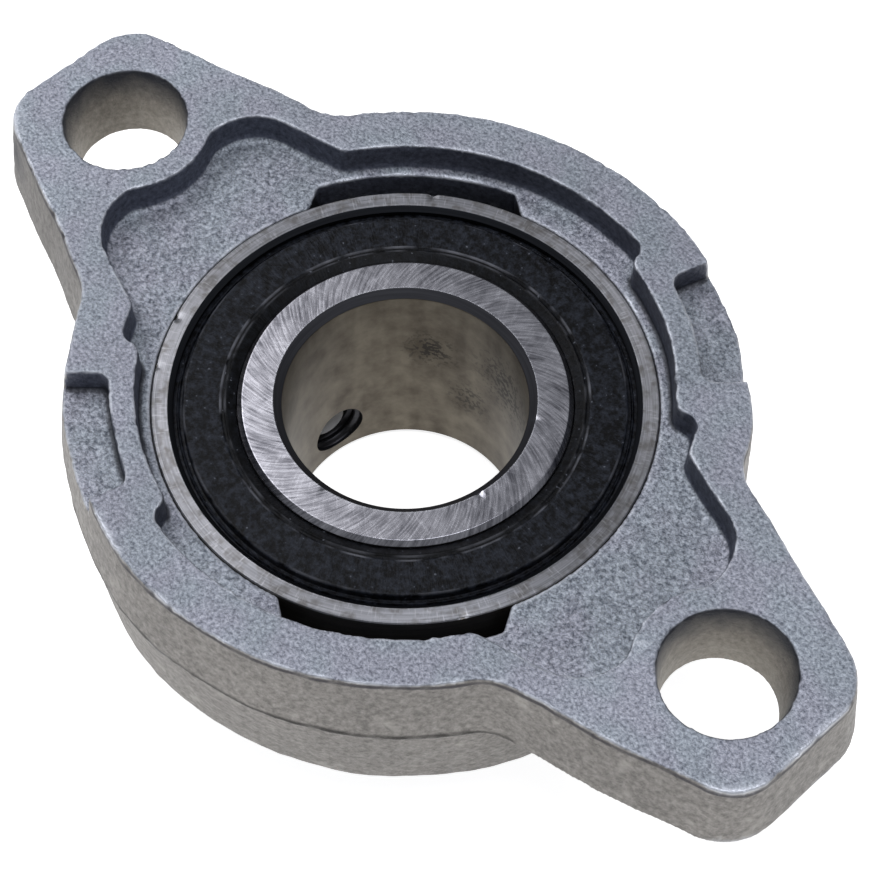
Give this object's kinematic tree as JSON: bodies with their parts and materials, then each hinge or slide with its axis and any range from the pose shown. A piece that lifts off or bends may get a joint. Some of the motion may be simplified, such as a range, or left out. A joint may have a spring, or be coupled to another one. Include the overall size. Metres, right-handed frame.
{
  "type": "two-bolt flange bearing unit",
  "caption": "Small die-cast flange bearing unit: a rhombic two-bolt housing whose spherical seat holds a sealed, self-aligning ball bearing with an extended, set-screwed inner ring.",
  "frame": {"origin": "where the shaft axis meets the plane of the mounting face", "axes": "+Z along the shaft axis, out of the mounting face; +X along the line of the two bolt holes; the collar points to -Z"},
  "size_m": [0.0666, 0.042, 0.0187],
  "materials": {
    "cast_zinc": "matte",
    "ring_steel": "satin",
    "ball_steel": "polished",
    "cage_steel": "satin",
    "seal_rubber": "matte",
    "core_steel": "satin",
    "screw_steel": "satin"
  },
  "bodies": {
    "housing": {"housing": "cast_zinc"},
    "insert": {"outer_ring": "ring_steel", "seal_back": "seal_rubber", "seal_core_back": "core_steel", "seal_front": "seal_rubber", "seal_core_front": "core_steel"},
    "inner_ring": {"inner_ring": "ring_steel"},
    "cage": {"cage_back": "cage_steel", "cage_front": "cage_steel", "cage_rivets": "cage_steel"},
    "ball_1": {"ball_1": "ball_steel"},
    "ball_2": {"ball_2": "ball_steel"},
    "ball_3": {"ball_3": "ball_steel"},
    "ball_4": {"ball_4": "ball_steel"},
    "ball_5": {"ball_5": "ball_steel"},
    "ball_6": {"ball_6": "ball_steel"},
    "ball_7": {"ball_7": "ball_steel"},
    "ball_8": {"ball_8": "ball_steel"},
    "ball_9": {"ball_9": "ball_steel"},
    "set_screw_1": {"set_screw_1": "screw_steel"},
    "set_screw_2": {"set_screw_2": "screw_steel"}
  },
  "joints": [
    {"name": "insert_tilt", "type": "hinge", "parent": "housing", "child": "insert", "pos_m": [0, 0, -0.0067], "axis": [1, 0, 0], "range_deg": [-3, 3]},
    {"name": "shaft_spin", "type": "hinge", "parent": "insert", "child": "inner_ring", "pos_m": [0, 0, -0.0067], "axis": [0, 0, 1], "continuous": true},
    {"name": "cage_orbit", "type": "hinge", "parent": "insert", "child": "cage", "pos_m": [0, 0, -0.0067], "axis": [0, 0, 1], "continuous": true},
    {"name": "ball_1_roll", "type": "hinge", "parent": "cage", "child": "ball_1", "pos_m": [0.009, 0.00755, -0.0067], "axis": [0, 0, 1], "continuous": true},
    {"name": "ball_2_roll", "type": "hinge", "parent": "cage", "child": "ball_2", "pos_m": [0.00204, 0.01157, -0.0067], "axis": [0, 0, 1], "continuous": true},
    {"name": "ball_3_roll", "type": "hinge", "parent": "cage", "child": "ball_3", "pos_m": [-0.00588, 0.01018, -0.0067], "axis": [0, 0, 1], "continuous": true},
    {"name": "ball_4_roll", "type": "hinge", "parent": "cage", "child": "ball_4", "pos_m": [-0.01104, 0.00402, -0.0067], "axis": [0, 0, 1], "continuous": true},
    {"name": "ball_5_roll", "type": "hinge", "parent": "cage", "child": "ball_5", "pos_m": [-0.01104, -0.00402, -0.0067], "axis": [0, 0, 1], "continuous": true},
    {"name": "ball_6_roll", "type": "hinge", "parent": "cage", "child": "ball_6", "pos_m": [-0.00588, -0.01018, -0.0067], "axis": [0, 0, 1], "continuous": true},
    {"name": "ball_7_roll", "type": "hinge", "parent": "cage", "child": "ball_7", "pos_m": [0.00204, -0.01157, -0.0067], "axis": [0, 0, 1], "continuous": true},
    {"name": "ball_8_roll", "type": "hinge", "parent": "cage", "child": "ball_8", "pos_m": [0.009, -0.00755, -0.0067], "axis": [0, 0, 1], "continuous": true},
    {"name": "ball_9_roll", "type": "hinge", "parent": "cage", "child": "ball_9", "pos_m": [0.01175, 0, -0.0067], "axis": [0, 0, 1], "continuous": true},
    {"name": "set_screw_1_drive", "type": "slide", "parent": "inner_ring", "child": "set_screw_1", "axis": [0.9972, -0.075, 0], "range_m": [-0.001, 0.0008]},
    {"name": "set_screw_2_drive", "type": "slide", "parent": "inner_ring", "child": "set_screw_2", "axis": [-0.4337, 0.9011, 0], "range_m": [-0.001, 0.0008]}
  ],
  "couplings": [
    {"joint": "cage_orbit", "follows": "shaft_spin", "ratio": 0.39868},
    {"joint": "ball_1_roll", "follows": "shaft_spin", "ratio": -2.3661},
    {"joint": "ball_2_roll", "follows": "shaft_spin", "ratio": -2.3661},
    {"joint": "ball_3_roll", "follows": "shaft_spin", "ratio": -2.3661},
    {"joint": "ball_4_roll", "follows": "shaft_spin", "ratio": -2.3661},
    {"joint": "ball_5_roll", "follows": "shaft_spin", "ratio": -2.3661},
    {"joint": "ball_6_roll", "follows": "shaft_spin", "ratio": -2.3661},
    {"joint": "ball_7_roll", "follows": "shaft_spin", "ratio": -2.3661},
    {"joint": "ball_8_roll", "follows": "shaft_spin", "ratio": -2.3661},
    {"joint": "ball_9_roll", "follows": "shaft_spin", "ratio": -2.3661}
  ]
}
